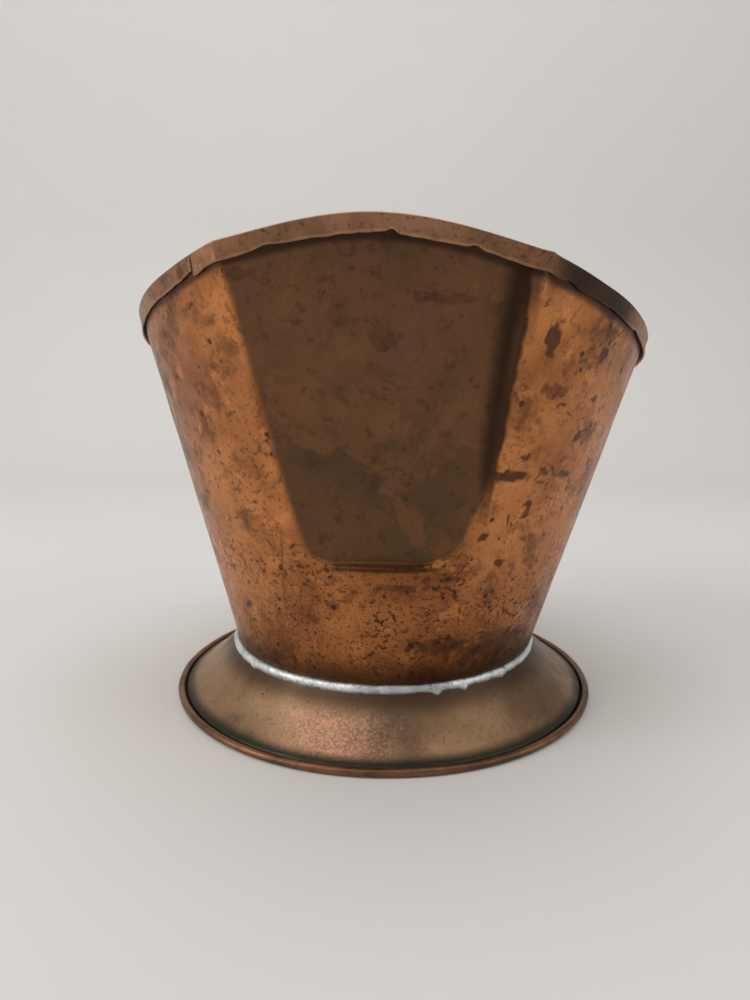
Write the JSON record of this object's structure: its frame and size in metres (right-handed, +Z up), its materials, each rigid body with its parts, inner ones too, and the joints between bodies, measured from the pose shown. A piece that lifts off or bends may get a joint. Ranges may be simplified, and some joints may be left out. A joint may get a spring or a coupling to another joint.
{
  "type": "open copper vessel",
  "caption": "Open flaring copper vessel with a flat front panel, a bound rim that rises over it and a soldered flared foot.",
  "frame": {"origin": "centre of the foot's underside, on the surface it stands on", "axes": "+Z up, the flat panel and the high side of the rim face -Y, +X to the right as seen from the panel side"},
  "size_m": [0.1983, 0.1941, 0.1812],
  "materials": {
    "body_copper": "aged copper, satin, spotted with dark patina",
    "rim_copper": "browned copper, satin",
    "floor_copper": "oxidised copper, dull",
    "foot_copper": "olive-brown copper, satin",
    "edging_copper": "worn copper edge, satin",
    "solder": "pitted grey tin solder"
  },
  "bodies": {
    "root": {"body_sheet": "body_copper", "rim_strip_short": "rim_copper", "rim_strip_long": "rim_copper", "floor_disc": "floor_copper", "floor_solder": "solder", "body_seam_solder": "solder", "foot_skirt": "foot_copper", "foot_edging": "edging_copper", "joint_solder": "solder", "foot_seam_solder": "solder"}
  },
  "joints": []
}
